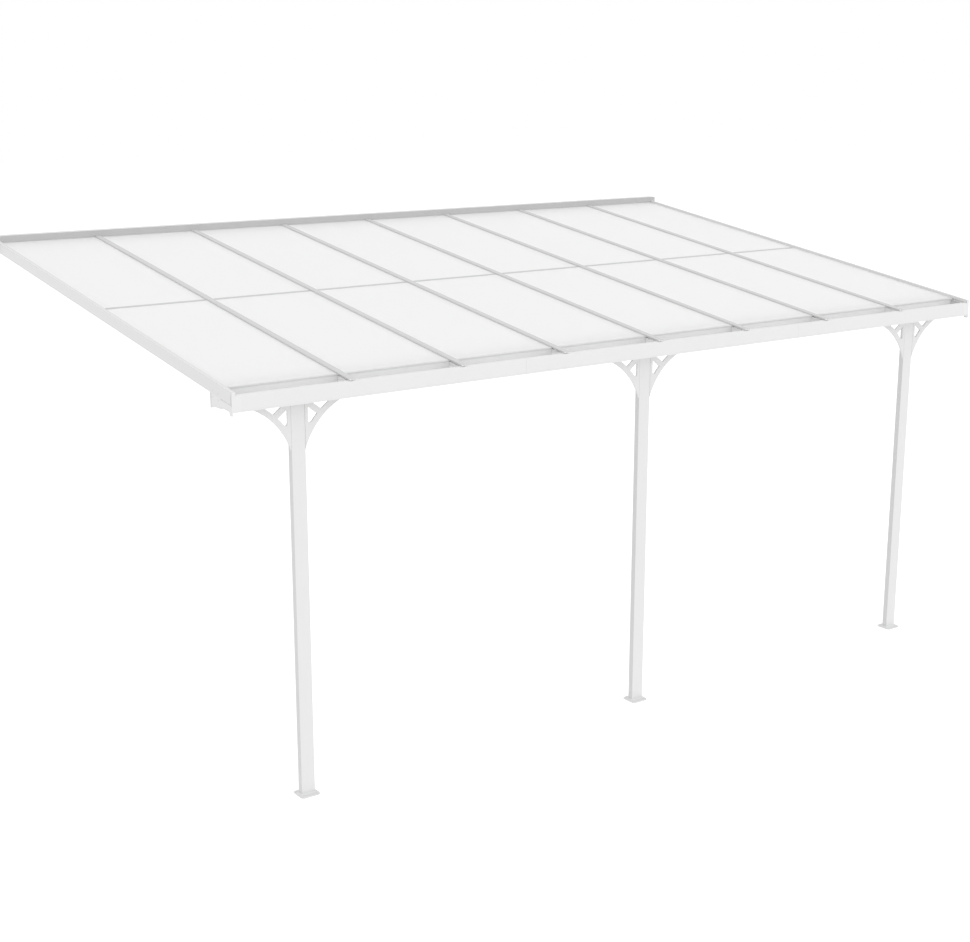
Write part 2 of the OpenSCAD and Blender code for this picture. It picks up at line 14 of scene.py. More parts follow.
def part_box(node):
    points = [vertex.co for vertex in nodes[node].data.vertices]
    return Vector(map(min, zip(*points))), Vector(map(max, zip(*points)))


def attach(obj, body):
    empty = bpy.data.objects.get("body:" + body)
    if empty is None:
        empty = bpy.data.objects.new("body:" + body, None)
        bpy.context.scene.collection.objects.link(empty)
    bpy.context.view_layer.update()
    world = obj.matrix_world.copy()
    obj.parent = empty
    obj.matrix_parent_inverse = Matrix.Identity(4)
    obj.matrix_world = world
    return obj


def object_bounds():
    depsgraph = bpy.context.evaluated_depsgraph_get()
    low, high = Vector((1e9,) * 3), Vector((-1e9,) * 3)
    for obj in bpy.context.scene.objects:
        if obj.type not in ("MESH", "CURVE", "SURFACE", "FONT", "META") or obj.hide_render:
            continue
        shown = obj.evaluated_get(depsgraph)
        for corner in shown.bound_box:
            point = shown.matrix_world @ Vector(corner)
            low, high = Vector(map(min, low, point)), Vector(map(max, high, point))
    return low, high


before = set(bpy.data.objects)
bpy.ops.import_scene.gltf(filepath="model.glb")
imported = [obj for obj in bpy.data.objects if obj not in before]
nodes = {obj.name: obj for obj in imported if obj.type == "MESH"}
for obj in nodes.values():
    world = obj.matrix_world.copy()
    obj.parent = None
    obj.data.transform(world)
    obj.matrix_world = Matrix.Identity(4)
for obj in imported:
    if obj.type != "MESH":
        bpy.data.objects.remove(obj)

cad_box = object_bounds()
print("solids loaded:", len(nodes))


# %% [markdown]
# Colours are picked as they look on a screen, as sRGB hex. Shaders work in linear light, so one
# function turns the first into the second. Nodes are wired by one small helper: it adds a node,
# sets its values and links its inputs in one call, which keeps each material short.

# %% Colour and node helpers
def linear(hex_colour):
    """Turns sRGB hex such as #E8E8E8 into linear RGBA."""
    parts = [int(hex_colour[i:i + 2], 16) / 255 for i in (1, 3, 5)]
    low, gamma = 0.04045, 2.4
    done = [p / 12.92 if p <= low else ((p + 0.055) / 1.055) ** gamma for p in parts]
    return (*done, 1.0)


def add_node(tree, kind, settings=None, values=None, links=None):
    """Adds a node, then sets its properties and sockets and links its inputs."""
    made = tree.nodes.new(kind)
    for name, value in (settings or {}).items():
        setattr(made, name, value)
    for socket, value in (values or {}).items():
        made.inputs[socket].default_value = value
    for socket, source in (links or {}).items():
        tree.links.new(source, made.inputs[socket])
    return made


def new_material(name):
    """Makes an empty node material and returns it with its tree."""
    material = bpy.data.materials.new(name)
    material.use_nodes = True
    material.node_tree.nodes.clear()
    return material, material.node_tree


MM = 0.001
print("white of the coat, linear:", round(linear("#E8E8E8")[0], 3))


# %% [markdown]
# ## Powder coat on extruded aluminium
# The posts, beams and rafters are aluminium pushed through a die and then powder coated. Three
# things give that away to the eye: an orange-peel ripple a few millimetres wide, faint die lines
# along the length, and a satin gloss that changes a little from place to place.
# The ripple is about 2 mm on the real coat, too fine for this picture, so it is drawn at 7 mm.
# The narrow sides of a post and the front and back of the wall rail get painted shade: their
# colour is darkened in fine sine stripes across the face, kept to the faces that look along one
# axis, so those faces look darker than the plain ones beside them.
# The coat is a dielectric, so its index is near 1.5, and its gloss is given as a pair of
# roughness values that a slow noise moves between.

# %% Powder coat
ORANGE_PEEL = 7 * MM
DIE_LINE = 9 * MM
CLOUD = 400 * MM
# Width of the stripes of painted shade, and the least share of that shade between them.
SHADE_STRIPE = 5 * MM
LEAST_SHADE = 0.3
STRETCH = 0.2
COAT_IOR = 1.5
COAT_RELIEF = 0.3 * MM
PEEL_STRENGTH = 0.12
LINE_STRENGTH = 0.10
SATIN = (0.34, 0.46)
SILK = (0.42, 0.55)
DULL = (0.44, 0.6)


def paint_side_shade(tree, place, tint, looks, across, shade_hex):
    """Paints shade into a tint, in sine stripes on the faces that look along one axis."""
    parts = add_node(tree, "ShaderNodeSeparateXYZ", None, None, {"Vector": place})
    turns = add_node(tree, "ShaderNodeMath", {"operation": "MULTIPLY"},
                     {1: 2 * math.pi / SHADE_STRIPE}, {0: parts.outputs[across]})
    wave = add_node(tree, "ShaderNodeMath", {"operation": "SINE"}, None, {0: turns.outputs[0]})
    stripe_shade = add_node(tree, "ShaderNodeMapRange", None, {"From Min": -1.0, "To Min": LEAST_SHADE},
                     {"Value": wave.outputs[0]})
    normal = add_node(tree, "ShaderNodeNewGeometry").outputs["Normal"]
    facing = add_node(tree, "ShaderNodeSeparateXYZ", None, None, {"Vector": normal})
    facing = add_node(tree, "ShaderNodeMath", {"operation": "ABSOLUTE"}, None,
                      {0: facing.outputs[looks]})
    share = add_node(tree, "ShaderNodeMath", {"operation": "MULTIPLY"}, None,
                     {0: facing.outputs[0], 1: stripe_shade.outputs[0]})
    return add_node(tree, "ShaderNodeMix", {"data_type": "RGBA"}, {7: linear(shade_hex)},
                    {0: share.outputs[0], 6: tint.outputs[2]})


def powder_coat(name, light_hex, dark_hex, glosses, die_axis, side_shade=None):
    """White powder coat; the die lines run along die_axis, one of the row's axes."""
    material, tree = new_material(name)
    place = add_node(tree, "ShaderNodeTexCoord").outputs["Object"]
    cloud = add_node(tree, "ShaderNodeTexNoise", None,
                     {"Scale": 1 / CLOUD, "Detail": 3.0, "Roughness": 0.5}, {"Vector": place})
    tint = add_node(tree, "ShaderNodeMix", {"data_type": "RGBA"},
                    {6: linear(dark_hex), 7: linear(light_hex)}, {0: cloud.outputs["Fac"]})
    # Where it is given, paint shade on the faces that look along one axis.
    if side_shade:
        tint = paint_side_shade(tree, place, tint, *side_shade)
    gloss = add_node(tree, "ShaderNodeMapRange", None,
                     {"To Min": glosses[0], "To Max": glosses[1]}, {"Value": cloud.outputs["Fac"]})
    peel = add_node(tree, "ShaderNodeTexNoise", None,
                    {"Scale": 1 / ORANGE_PEEL, "Detail": 2.0}, {"Vector": place})
    stretch = [1 / DIE_LINE] * 3
    stretch["XYZ".index(die_axis)] = STRETCH
    along = add_node(tree, "ShaderNodeMapping", None, {"Scale": stretch}, {"Vector": place})
    lines = add_node(tree, "ShaderNodeTexNoise", None,
                     {"Scale": 1.0, "Detail": 1.0}, {"Vector": along.outputs["Vector"]})
    peel_bump = add_node(tree, "ShaderNodeBump", None,
                         {"Strength": PEEL_STRENGTH, "Distance": COAT_RELIEF},
                         {"Height": peel.outputs["Fac"]})
    line_bump = add_node(tree, "ShaderNodeBump", None,
                         {"Strength": LINE_STRENGTH, "Distance": COAT_RELIEF},
                         {"Height": lines.outputs["Fac"], "Normal": peel_bump.outputs["Normal"]})
    coat = add_node(tree, "ShaderNodeBsdfPrincipled", None, {"IOR": COAT_IOR},
                    {"Base Color": tint.outputs[2], "Roughness": gloss.outputs[0],
                     "Normal": line_bump.outputs["Normal"]})
    add_node(tree, "ShaderNodeOutputMaterial", None, None, {"Surface": coat.outputs[0]})
    return material


# Name of the coat, its colours, gloss, die axis and, where it has painted shade, the axis that the
# shaded faces look along, the axis across the stripes and the colour of the painted shade.
COATS = {
    "white_upright": ("#E5E5E5", "#E1E1E1", SATIN, "Z"),
    # Posts get painted shade on their narrow sides, the wall rail on its front and back.
    "side_shaded_post": ("#E6E6E6", "#E2E2E2", SATIN, "Z", ("X", "Y", "#CCCCCC")),
    "white_beam": ("#E8E8E8", "#E4E4E4", SATIN, "X"),
    "white_rafter": ("#E3E3E3", "#DFDFDF", SATIN, "Y"),
    "satin_cap": ("#D4D4D4", "#CECECE", SILK, "Y"),
    "satin_joiner": ("#CCCCCC", "#C6C6C6", SILK, "X"),
    "front_shaded_ledger": ("#E6E6E6", "#E2E2E2", SILK, "X", ("Y", "Z", "#A6A6A6")),
    # These two are the white coat made brighter: painted light that cancels the shade in the
    # gutter's hollow, round the closures and the rafters' ends.
    "lightened_inside": ("#FBFBFB", "#F8F8F8", SATIN, "X"),
    "lightened_rafter": ("#FBFBFB", "#F8F8F8", SATIN, "Y"),
    "white_trim": ("#E5E5E5", "#E1E1E1", SATIN, "X"),
    "cast_plate": ("#E4E4E4", "#DEDEDE", DULL, "X"),
}
coats = {key: powder_coat("powder_coat_" + key, *look) for key, look in COATS.items()}
print("powder coats:", len(coats))


# %% [markdown]
# ## Moulded end caps
# The end caps of the gutter and the ledger are injection-moulded ABS. The mould is spark eroded,
# so the plastic has a fine even grain and a duller gloss than the coat beside it. The real grain
# is 0.3 mm, drawn here at 3 mm so that it shows.

# %% Moulded plastic
GRAIN = 3 * MM
GRAIN_RELIEF = 0.2 * MM
GRAIN_STRENGTH = 0.2
ABS_GLOSS = (0.5, 0.62)
ABS_IOR = 1.53


def moulded_abs(name, colour_hex):
    """Spark-eroded white ABS."""
    material, tree = new_material(name)
    place = add_node(tree, "ShaderNodeTexCoord").outputs["Object"]
    grain = add_node(tree, "ShaderNodeTexVoronoi", None, {"Scale": 1 / GRAIN}, {"Vector": place})
    bump = add_node(tree, "ShaderNodeBump", None,
                    {"Strength": GRAIN_STRENGTH, "Distance": GRAIN_RELIEF},
                    {"Height": grain.outputs["Distance"]})
    gloss = add_node(tree, "ShaderNodeMapRange", None,
                     {"To Min": ABS_GLOSS[0], "To Max": ABS_GLOSS[1]},
                     {"Value": grain.outputs["Distance"]})
    plastic = add_node(tree, "ShaderNodeBsdfPrincipled", None,
                       {"Base Color": linear(colour_hex), "IOR": ABS_IOR},
                       {"Roughness": gloss.outputs[0], "Normal": bump.outputs["Normal"]})
    add_node(tree, "ShaderNodeOutputMaterial", None, None, {"Surface": plastic.outputs[0]})
    return material


end_cap_plastic = moulded_abs("abs_moulded_end_cap", "#E8E8E8")
print("moulded plastic:", end_cap_plastic.name)


# %% [markdown]
# ## Twin-wall polycarbonate
# Each roof panel is an extruded sheet of opal polycarbonate: two thin skins with ribs between
# them, 11 mm apart, that run up the slope. Opal sheet scatters light from both sides, so it looks
# brighter than the metal around it. A translucent shader lets the light from below through, and
# the plastic's own gloss stays on top. The ribs show as faint lines, so they are a pattern of X.
# A slow ripple of a quarter of a metre stands for the sheet's slight waviness.

# %% Polycarbonate
RIB_PITCH = 11 * MM
RIPPLE = 250 * MM
RIB_HEIGHT = 0.15
SHEET_STRENGTH = 0.15
SHEET_RELIEF = 0.4 * MM
SHEET_ROUGHNESS = 0.32
SHEET_IOR = 1.585
LIGHT_THROUGH = 0.22
BAY = 760 * MM


def opal_sheet(name):
    """Opal twin-wall polycarbonate with ribs along the slope."""
    material, tree = new_material(name)
    place = add_node(tree, "ShaderNodeTexCoord").outputs["Object"]
    across = add_node(tree, "ShaderNodeSeparateXYZ", None, None, {"Vector": place})
    turns = add_node(tree, "ShaderNodeMath", {"operation": "MULTIPLY"},
                     {1: 2 * math.pi / RIB_PITCH}, {0: across.outputs["X"]})
    ribs = add_node(tree, "ShaderNodeMath", {"operation": "SINE"}, None, {0: turns.outputs[0]})
    shade = add_node(tree, "ShaderNodeMapRange", None, {"From Min": -1.0},
                     {"Value": ribs.outputs[0]})
    tint = add_node(tree, "ShaderNodeMix", {"data_type": "RGBA"},
                    {6: linear("#F8F8F8"), 7: linear("#FBFBFB")}, {0: shade.outputs[0]})
    ripple = add_node(tree, "ShaderNodeTexNoise", None,
                      {"Scale": 1 / RIPPLE, "Detail": 2.0}, {"Vector": place})
    height = add_node(tree, "ShaderNodeMath", {"operation": "MULTIPLY_ADD"},
                      {1: RIB_HEIGHT}, {0: ribs.outputs[0], 2: ripple.outputs["Fac"]})
    bump = add_node(tree, "ShaderNodeBump", None,
                    {"Strength": SHEET_STRENGTH, "Distance": SHEET_RELIEF},
                    {"Height": height.outputs[0]})
    skin = add_node(tree, "ShaderNodeBsdfPrincipled", None,
                    {"Roughness": SHEET_ROUGHNESS, "IOR": SHEET_IOR},
                    {"Base Color": tint.outputs[2], "Normal": bump.outputs["Normal"]})
    glow = add_node(tree, "ShaderNodeBsdfTranslucent", None, None,
                    {"Color": tint.outputs[2], "Normal": bump.outputs["Normal"]})
    sheet = add_node(tree, "ShaderNodeMixShader", None, {0: LIGHT_THROUGH},
                     {1: skin.outputs[0], 2: glow.outputs[0]})
    add_node(tree, "ShaderNodeOutputMaterial", None, None, {"Surface": sheet.outputs[0]})
    return material


polycarbonate = opal_sheet("polycarbonate_opal_twin_wall")
print("ribs in one bay:", round(BAY / RIB_PITCH))


# %% [markdown]
# ## Dress the solids
# The solids are right as they are, so each one only gets its finish. The start of a node's name
# says what the piece is, so one table of name and material covers them all.

# %% Give each solid its finish
FINISHES = {
    "post_head": coats["white_upright"],
    "post": coats["side_shaded_post"],
    "foot_plate": coats["cast_plate"],
    "corbel": coats["white_upright"],
    "gutter_end_cap": end_cap_plastic,
    "ledger_end_cap": end_cap_plastic,
    "gutter": coats["white_beam"],
    "gutter_closures": coats["lightened_inside"],
    "wall_ledger": coats["front_shaded_ledger"],
    "rafter_caps": coats["satin_cap"],
    "rafter": coats["lightened_rafter"],
    "side_rafter": coats["white_rafter"],
    "panel_joiners": coats["satin_joiner"],
    "panel_end_trims": coats["white_trim"],
    "roof_panels": polycarbonate,
}


def finish_of(name):
    """The finish whose key is the longest start of the node's name."""
    return FINISHES[max((key for key in FINISHES if name.startswith(key)), key=len)]


for name, solid in nodes.items():
    solid.data.materials.clear()
    solid.data.materials.append(finish_of(name))
print("dressed:", len(nodes))


# %% [markdown]
# ## Small hardware
# Screws, washers and bolt heads are turned parts, so one function lathes a list of rings round an
# axis, and a hexagon is the same lathe with six sides. Rings are pairs of radius and height in
# mm. Parts that are not round are an outline that is extruded. Each group of like parts is one
# object. Places are worked out from the boxes of the solids, and from the slope for parts on the
# roof.

# %% Places, lathe and pieces
SLOPE = math.radians(7.93)
ROOF_FRONT_Z = -471.284 * MM
COVER_FRONT_Y = -3660 * MM
SHARP_FROM = math.radians(35)


def on_roof(x, along, rise):
    """A point in metres: along the slope from the front, and up square to it."""
    y = COVER_FRONT_Y + along * math.cos(SLOPE) - rise * math.sin(SLOPE)
    z = ROOF_FRONT_Z + along * math.sin(SLOPE) + rise * math.cos(SLOPE)
    return Vector((x, y, z))


def pointing(at, axis, spin=0.0):
    """A matrix at a place, whose Z points along the axis."""
    turn = Vector(axis).to_track_quat("Z", "Y").to_matrix().to_4x4()
    return Matrix.Translation(at) @ turn @ Matrix.Rotation(spin, 4, "Z")


def lathe(mesh, place, rings, sides=16):
    """Adds a turned solid: rings of radius and height in mm, closed at both ends."""
    turns = [2 * math.pi * k / sides for k in range(sides)]
    loops = []
    for radius, height in rings:
        points = [Vector((radius * math.cos(t), radius * math.sin(t), height)) * MM for t in turns]
        loops.append([mesh.verts.new(place @ point) for point in points])
    for low, high in zip(loops, loops[1:]):
        for k in range(sides):
            after = (k + 1) % sides
            mesh.faces.new((low[k], low[after], high[after], high[k]))
    mesh.faces.new(loops[0][::-1])
    mesh.faces.new(loops[-1])


def prism(mesh, outline, place, length):
    """Adds an outline of X and Z in mm, extruded along Y by a length in metres."""
    ends = []
    for y in (0.0, length):
        ends.append([mesh.verts.new(place @ Vector((x * MM, y, z * MM))) for x, z in outline])
    for k in range(len(outline)):
        after = (k + 1) % len(outline)
        mesh.faces.new((ends[0][k], ends[0][after], ends[1][after], ends[1][k]))
    mesh.faces.new(ends[0][::-1])
    mesh.faces.new(ends[1])


def add_piece(name, mesh, material):
    """Turns mesh code into an object with one material, on the root body."""
    bmesh.ops.recalc_face_normals(mesh, faces=mesh.faces)
    data = bpy.data.meshes.new(name)
    mesh.to_mesh(data)
    mesh.free()
    data.materials.append(material)
    data.shade_smooth()
    data.set_sharp_from_angle(angle=SHARP_FROM)
    piece = bpy.data.objects.new(name, data)
    bpy.context.scene.collection.objects.link(piece)
    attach(piece, "root")
    print(name, "has", len(data.polygons), "faces")


PAN_HEAD = ((4.0, 0.0), (4.2, 0.8), (3.9, 1.8), (3.0, 2.5), (1.2, 2.8))
POSTS = ("post_left", "post_middle", "post_right")
post_boxes = [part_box(name) for name in POSTS]
post_xs = [(low.x + high.x) / 2 for low, high in post_boxes]
post_low, post_high = post_boxes[0]
post_y = (post_low.y + post_high.y) / 2
print("posts at", [round(x, 3) for x in post_xs])


# %% [markdown]
# Screws in sight are stainless steel with pan heads, coated white before they are packed, so they
# hardly show. Bare metal is used only for the bolts of the wall rail, high up at the wall. They are
# zinc plated, a dull grey with a fine spangle.

# %% Screw finishes
ZINC_GLOSS = (0.32, 0.5)
SCREW_GLOSS = (0.36, 0.46)


def zinc_plate(name):
    """Dull zinc plating with a fine spangle."""
    material, tree = new_material(name)
    place = add_node(tree, "ShaderNodeTexCoord").outputs["Object"]
    spangle = add_node(tree, "ShaderNodeTexVoronoi", None, {"Scale": 1 / GRAIN}, {"Vector": place})
    gloss = add_node(tree, "ShaderNodeMapRange", None,
                     {"To Min": ZINC_GLOSS[0], "To Max": ZINC_GLOSS[1]},
                     {"Value": spangle.outputs["Distance"]})
    metal = add_node(tree, "ShaderNodeBsdfPrincipled", None,
                     {"Base Color": linear("#C9CBCC"), "Metallic": 1.0},
                     {"Roughness": gloss.outputs[0]})
    add_node(tree, "ShaderNodeOutputMaterial", None, None, {"Surface": metal.outputs[0]})
    return material


zinc = zinc_plate("zinc_plated_steel")
coated_screw = powder_coat("powder_coat_white_screw", "#E6E6E6", "#E0E0E0", SCREW_GLOSS, "Z")
print("screw finishes:", zinc.name, coated_screw.name)


# %% [markdown]
# Each corbel is held by four screws: two through the leg on the post, and two up through the leg
# on the beam. They sit in the corbel's openings, where a screwdriver can reach them.

# %% Corbel screws
POST_LEG = 20 * MM
BEAM_LEG = 14 * MM
LEG_SCREWS_DOWN = (80 * MM, 150 * MM)
BEAM_SCREWS_OUT = (78 * MM, 150 * MM)

screws = bmesh.new()
for name in nodes:
    if name.startswith("corbel"):
        low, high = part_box(name)
        middle = (low + high) / 2
        nearest = min(post_xs, key=lambda x: abs(x - middle.x))
        side = 1 if middle.x > nearest else -1
        inner_x = low.x if side > 0 else high.x
        for down in LEG_SCREWS_DOWN:
            at = (inner_x + side * POST_LEG, middle.y, high.z - down)
            lathe(screws, pointing(at, (side, 0, 0)), PAN_HEAD)
        for out in BEAM_SCREWS_OUT:
            at = (inner_x + side * out, middle.y, high.z - BEAM_LEG)
            lathe(screws, pointing(at, (0, 0, -1)), PAN_HEAD)
add_piece("corbel_screws", screws, coated_screw)


# %% [markdown]
# A post is fixed by screws through its narrow sides: one on each side into the spigot of its head,
# and two into the spigot of its foot plate.

# %% Post screws
HEAD_SCREW_DOWN = 35 * MM
FOOT_SCREW_UP = 40 * MM
SCREW_OFF = 8 * MM

screws = bmesh.new()
half_post = (post_high.x - post_low.x) / 2
for x in post_xs:
    for side in (-1, 1):
        for y_off, z in ((SCREW_OFF, post_high.z - HEAD_SCREW_DOWN),
                         (SCREW_OFF, post_low.z + FOOT_SCREW_UP),
                         (-SCREW_OFF, post_low.z + FOOT_SCREW_UP)):
            at = (x + side * half_post, post_y + y_off, z)
            lathe(screws, pointing(at, (side, 0, 0)), PAN_HEAD)
add_piece("post_screws", screws, coated_screw)


# %% [markdown]
# Each foot plate is held by four low dome-headed anchors, white like the plate, each on a thin
# washer. The wall rail has hexagon bolts in two rows: the lower row shows under its shelf, and the
# upper row is up inside its hood.

# %% Anchors and wall bolts
ANCHOR_DX = 45 * MM
ANCHOR_DY = 42 * MM
PLATE_T = 7 * MM
DOME_WASHER = ((4.9, -6.4), (4.9, 0.0), (8.6, 0.0), (8.6, 1.0), (7.0, 1.1))
DOME_HEAD = ((6.6, 1.1), (6.6, 1.8), (5.6, 3.4), (3.6, 4.5), (1.2, 4.9))
BOLT_WASHER = ((3.8, -3.8), (3.8, 0.0), (8.6, 0.0), (8.6, 1.6), (7.0, 1.7))
HEX_HEAD = ((6.6, 1.7), (7.0, 2.0), (7.0, 5.6), (6.2, 6.4), (3.4, 6.5))
ROUND_SIDES = 24
HEX_SIDES = 6
BOLT_TURN = math.radians(12)
BAYS = 8
LEDGER_BACK_T = 4 * MM
BOLT_ROWS_DOWN = (20 * MM, 112 * MM)

anchors = bmesh.new()
for x in post_xs:
    for dx in (-ANCHOR_DX, ANCHOR_DX):
        for dy in (-ANCHOR_DY, ANCHOR_DY):
            place = pointing((x + dx, post_y + dy, cad_box[0][2] + PLATE_T), (0, 0, 1))
            lathe(anchors, place, DOME_WASHER, ROUND_SIDES)
            lathe(anchors, place, DOME_HEAD, ROUND_SIDES)
add_piece("foot_anchors", anchors, coated_screw)

ledger_low, ledger_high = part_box("wall_ledger")
bolts = bmesh.new()
for down in BOLT_ROWS_DOWN:
    for k in range(BAYS):
        at = ((k - (BAYS - 1) / 2) * BAY, ledger_high.y - LEDGER_BACK_T, ledger_high.z - down)
        place = pointing(at, (0, -1, 0), BOLT_TURN)
        lathe(bolts, place, BOLT_WASHER, ROUND_SIDES)
        lathe(bolts, place, HEX_HEAD, HEX_SIDES)
add_piece("wall_bolts", bolts, zinc)


# %% [markdown]
# Each inner rafter has two screws up through the shelf of the wall rail. At the front, the side
# rafters and the end caps under them have screws through their outer faces.

# %% Rafter and end cap screws
SHELF_UNDER_Z = -36.5 * MM
SHELF_TILT = 0.0756
SHELF_SCREW_Y = -45 * MM
RAFTER_SCREW_DX = 9 * MM
CAP_SCREWS_ALONG = (160 * MM, 225 * MM)
SIDE_SCREW_RISE = -50 * MM
CAP_SCREW_BELOW = 36 * MM
END_CAPS = (("gutter_end_cap_left", -1), ("gutter_end_cap_right", 1))

rafter_xs = [(k - (BAYS - 2) / 2) * BAY for k in range(BAYS - 1)]
screws = bmesh.new()
for x in rafter_xs:
    for dx in (-RAFTER_SCREW_DX, RAFTER_SCREW_DX):
        at = (x + dx, SHELF_SCREW_Y, SHELF_UNDER_Z)
        lathe(screws, pointing(at, (0, SHELF_TILT, -1)), PAN_HEAD)
add_piece("rafter_screws", screws, coated_screw)

screws = bmesh.new()
for name, side in END_CAPS:
    low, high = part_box(name)
    face_x = low.x if side < 0 else high.x
    for along in CAP_SCREWS_ALONG:
        at = on_roof(face_x, along, SIDE_SCREW_RISE)
        lathe(screws, pointing(at, (side, 0, 0)), PAN_HEAD)
        lathe(screws, pointing(at - Vector((0, 0, CAP_SCREW_BELOW)), (side, 0, 0)), PAN_HEAD)
add_piece("end_cap_screws", screws, coated_screw)


# %% [markdown]
# ## Gaskets, plugs and sealant
# Each snap cap presses a soft rubber lip on the panel at both sides. The lip is extruded with the
# cap, is pale grey, and shows as a fine line. Moulded plugs close the front of each cap, shaped
# round its two snap legs. A bead of silicone seals the wall rail to the wall from below.

# %% Gaskets, plugs and sealant
RUBBER_WAVE = 12 * MM
RUBBER_RELIEF = 0.4 * MM
RUBBER_STRENGTH = 0.25
RUBBER_IOR = 1.45


def soft_rubber(name, colour_hex, roughness):
    """Soft rubber or silicone, a little uneven."""
    material, tree = new_material(name)
    place = add_node(tree, "ShaderNodeTexCoord").outputs["Object"]
    uneven = add_node(tree, "ShaderNodeTexNoise", None,
                      {"Scale": 1 / RUBBER_WAVE, "Detail": 2.0}, {"Vector": place})
    bump = add_node(tree, "ShaderNodeBump", None,
                    {"Strength": RUBBER_STRENGTH, "Distance": RUBBER_RELIEF},
                    {"Height": uneven.outputs["Fac"]})
    rubber = add_node(tree, "ShaderNodeBsdfPrincipled", None,
                      {"Base Color": linear(colour_hex), "Roughness": roughness,
                       "IOR": RUBBER_IOR},
                      {"Normal": bump.outputs["Normal"]})
    add_node(tree, "ShaderNodeOutputMaterial", None, None, {"Surface": rubber.outputs[0]})
    return material


# The outlines of the lip and the plugs are X and Z in mm from the plane of the caps' tops, and the
# panels' top lies under it. The bead's are Y from the wall and Z from the wall rail's lower edge.
PANEL_TOP = -9.3
LIP = ((20.0, PANEL_TOP), (22.0, PANEL_TOP), (21.8, PANEL_TOP + 0.8), (20.0, PANEL_TOP + 2.4))
LIP_FROM = 128 * MM
LIP_TO = 3602 * MM
PLUG = ((-2.4, -8.8), (2.4, -8.8), (2.4, -2.7), (-2.4, -2.7))
SIDE_PLUG = ((5.0, -8.8), (17.3, -8.8), (17.3, -2.7), (5.0, -2.7))
PLUG_FROM = 0.4 * MM
PLUG_L = 2.6 * MM
BEAD = ((-0.1, 0.0), (-4.0, 0.0), (-3.8, -1.6), (-2.6, -3.2), (-1.2, -4.2), (-0.1, -4.6))

epdm = soft_rubber("epdm_grey_gasket", "#C6C6C6", 0.7)
silicone = soft_rubber("silicone_white_bead", "#E4E4E4", 0.4)
up_roof = Matrix.Rotation(SLOPE, 4, "X")
flip = Matrix.Scale(-1, 4, (1, 0, 0))
x_to_y = Matrix.Rotation(math.radians(90), 4, "Z")

lips = bmesh.new()
plugs = bmesh.new()
for x in rafter_xs:
    lip_place = Matrix.Translation(on_roof(x, LIP_FROM, 0)) @ up_roof
    plug_place = Matrix.Translation(on_roof(x, PLUG_FROM, 0)) @ up_roof
    prism(plugs, PLUG, plug_place, PLUG_L)
    for turn in (Matrix.Identity(4), flip):
        prism(lips, LIP, lip_place @ turn, LIP_TO - LIP_FROM)
        prism(plugs, SIDE_PLUG, plug_place @ turn, PLUG_L)
add_piece("cap_gaskets", lips, epdm)
add_piece("cap_plugs", plugs, end_cap_plastic)

bead = bmesh.new()
bead_place = Matrix.Translation((ledger_high.x, 0, ledger_low.z)) @ x_to_y
prism(bead, BEAD, bead_place, ledger_high.x - ledger_low.x)
add_piece("wall_sealant", bead, silicone)


# %% [markdown]
# Beside each end plate the gutter's box is open at the back, and its trough is open in front of
# the side rafter. Strips of white closed-cell foam fill both, to keep leaves and insects out. They
# stand 2 mm back from the face, so each one shows as a soft line. Their outlines are distances
# back from the cover's front and heights from the roof's front edge, in mm.

# %% Foam strips
FOAM_BACK = ((242.4, -113.0), (258.6, -116.3), (258.6, -36.2), (242.4, -38.5))
FOAM_FRONT = ((3.4, -69.4), (13.9, -67.9), (13.9, -13.5), (9.5, -15.3), (6.5, -17.6),
              (4.4, -20.6), (3.4, -24.0))
FOAM_SUNK = 2 * MM
FOAM_T = 5 * MM

foam = soft_rubber("epdm_white_foam", "#E2E2E2", 0.85)
strips = bmesh.new()
for name, side in END_CAPS:
    low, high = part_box(name)
    start_x = high.x - FOAM_SUNK if side > 0 else low.x + FOAM_SUNK + FOAM_T
    place = Matrix.Translation((start_x, COVER_FRONT_Y, ROOF_FRONT_Z)) @ x_to_y
    for outline in (FOAM_BACK, FOAM_FRONT):
        prism(strips, outline, place, FOAM_T)
add_piece("end_cap_foam", strips, foam)


# %% [markdown]
# ## Floor, backdrop and light
# The cover stands in a plain white studio. The floor looks white to the camera and to glossy and
# transmitted rays, and still takes the cover's soft shadow. It throws no light back up, so the
# undersides are lit by the even sky. The sky is a shade brighter overhead than at the horizon, and
# one large soft sun, low at the front right, gives the faces their difference in tone. The light
# bounces often, because the gutter is a white hollow.

# %% Floor, sky and key light
ground_z = cad_box[0][2]
WHITE = (1, 1, 1, 1)
FLOOR_HALF = 60.0
FLOOR_LIFT = 0.35
SKY_SIDE = 0.97
SKY_TOP = 1.0


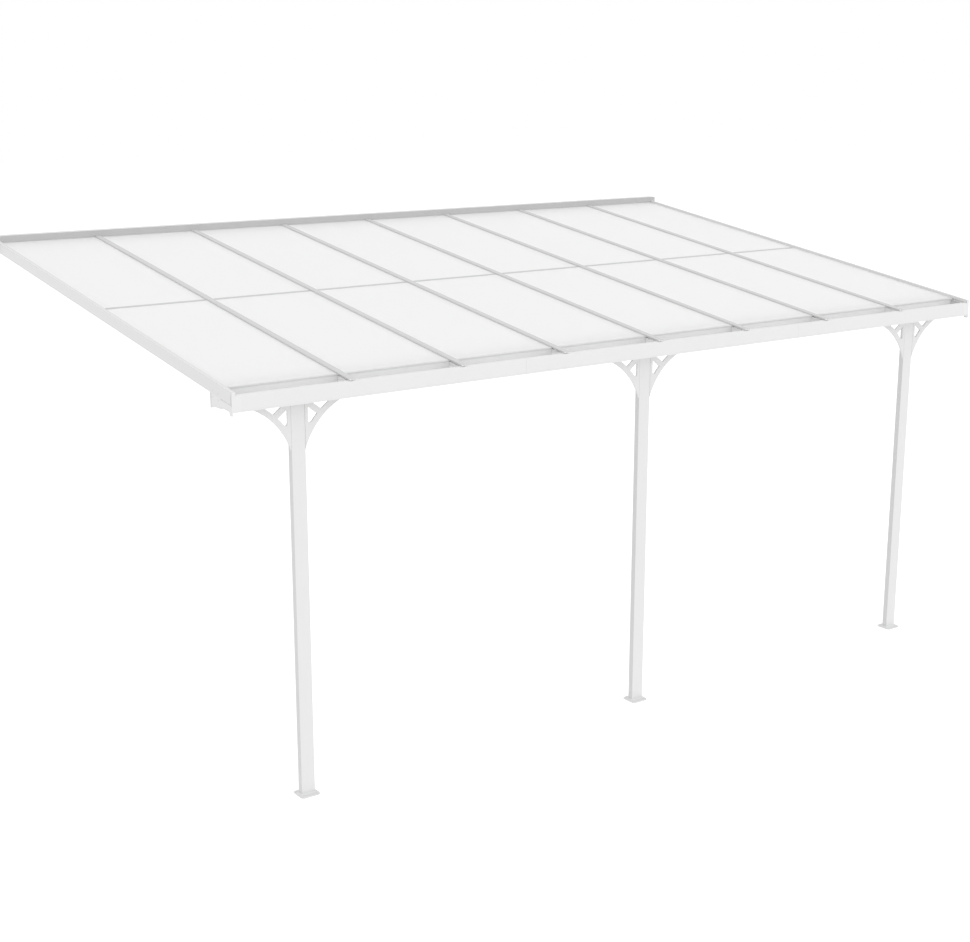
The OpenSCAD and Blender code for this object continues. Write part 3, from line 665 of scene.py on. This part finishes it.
def studio_floor():
    """A wide white floor under the feet."""
    mesh = bpy.data.meshes.new("studio_floor")
    signs = ((-1, -1), (1, -1), (1, 1), (-1, 1))
    corners = [(x * FLOOR_HALF, y * FLOOR_HALF, ground_z) for x, y in signs]
    mesh.from_pydata(corners, [], [(0, 1, 2, 3)])
    floor = bpy.data.objects.new("studio_floor", mesh)
    bpy.context.scene.collection.objects.link(floor)
    material, tree = new_material("studio_floor_white")
    path = add_node(tree, "ShaderNodeLightPath")
    seen = add_node(tree, "ShaderNodeMath", {"operation": "MAXIMUM"}, None,
                    {0: path.outputs["Is Camera Ray"], 1: path.outputs["Is Glossy Ray"]})
    seen = add_node(tree, "ShaderNodeMath", {"operation": "MAXIMUM"}, None,
                    {0: seen.outputs[0], 1: path.outputs["Is Transmission Ray"]})
    matt = add_node(tree, "ShaderNodeBsdfDiffuse", None, {"Color": linear("#F2F2F2")})
    level = add_node(tree, "ShaderNodeMath", {"operation": "MULTIPLY"}, {1: FLOOR_LIFT},
                     {0: seen.outputs[0]})
    lift = add_node(tree, "ShaderNodeEmission", None, {"Color": WHITE},
                    {"Strength": level.outputs[0]})
    both = add_node(tree, "ShaderNodeAddShader", None, None,
                    {0: matt.outputs[0], 1: lift.outputs[0]})
    add_node(tree, "ShaderNodeOutputMaterial", None, None, {"Surface": both.outputs[0]})
    mesh.materials.append(material)
    floor.visible_diffuse = False


def studio_sky():
    """White all round, and plain white to the camera."""
    world = bpy.data.worlds.new("studio_sky")
    bpy.context.scene.world = world
    world.use_nodes = True
    tree = world.node_tree
    tree.nodes.clear()
    aim = add_node(tree, "ShaderNodeTexCoord").outputs["Generated"]
    rise = add_node(tree, "ShaderNodeSeparateXYZ", None, None, {"Vector": aim})
    level = add_node(tree, "ShaderNodeMapRange", {"interpolation_type": "SMOOTHSTEP"},
                     {"From Min": 0.0, "From Max": 1.0, "To Min": SKY_SIDE, "To Max": SKY_TOP},
                     {"Value": rise.outputs["Z"]})
    path = add_node(tree, "ShaderNodeLightPath")
    level = add_node(tree, "ShaderNodeMix", None, {3: 1.0},
                     {0: path.outputs["Is Camera Ray"], 2: level.outputs[0]})
    light = add_node(tree, "ShaderNodeBackground", None, {"Color": WHITE},
                     {"Strength": level.outputs[0]})
    add_node(tree, "ShaderNodeOutputWorld", None, None, {"Surface": light.outputs[0]})


studio_floor()
studio_sky()

KEY_STRENGTH = 0.32
KEY_ANGLE = math.radians(40)
KEY_TURN = (math.radians(76), 0, math.radians(30))
BOUNCES = 12
DIFFUSE_BOUNCES = 8

key_data = bpy.data.lights.new("key_light", "SUN")
key_data.energy = KEY_STRENGTH
key_data.angle = KEY_ANGLE
key = bpy.data.objects.new("key_light", key_data)
key.rotation_euler = KEY_TURN
bpy.context.scene.collection.objects.link(key)
bpy.context.scene.view_settings.view_transform = "Standard"
bpy.context.scene.cycles.max_bounces = BOUNCES
bpy.context.scene.cycles.diffuse_bounces = DIFFUSE_BOUNCES
print("floor at", round(ground_z, 3), "m")


# %% [markdown]
# ## Camera
# The camera stands where the picture was taken from. Its place, heading and lens come from a fit
# of the cover's corners to the picture, which is 970 pixels wide.

# %% Camera
IMAGE_W = 970
FOCAL_PX = 1619.66
SENSOR_W = 36.0
CAMERA_AT = (-6.813, -11.3353, 1.2247)
HEADING = 0.6166
LOOK_DOWN = 0.2456
SEES_TO = 500

camera_data = bpy.data.cameras.new("camera")
camera_data.sensor_fit = "HORIZONTAL"
camera_data.sensor_width = SENSOR_W
camera_data.lens = FOCAL_PX / IMAGE_W * SENSOR_W
camera_data.clip_end = SEES_TO
camera = bpy.data.objects.new("camera", camera_data)
camera.location = CAMERA_AT
camera.rotation_euler = (math.pi / 2 - LOOK_DOWN, 0, -HEADING)
bpy.context.scene.collection.objects.link(camera)
bpy.context.scene.camera = camera
print("lens:", round(camera_data.lens, 2), "mm")
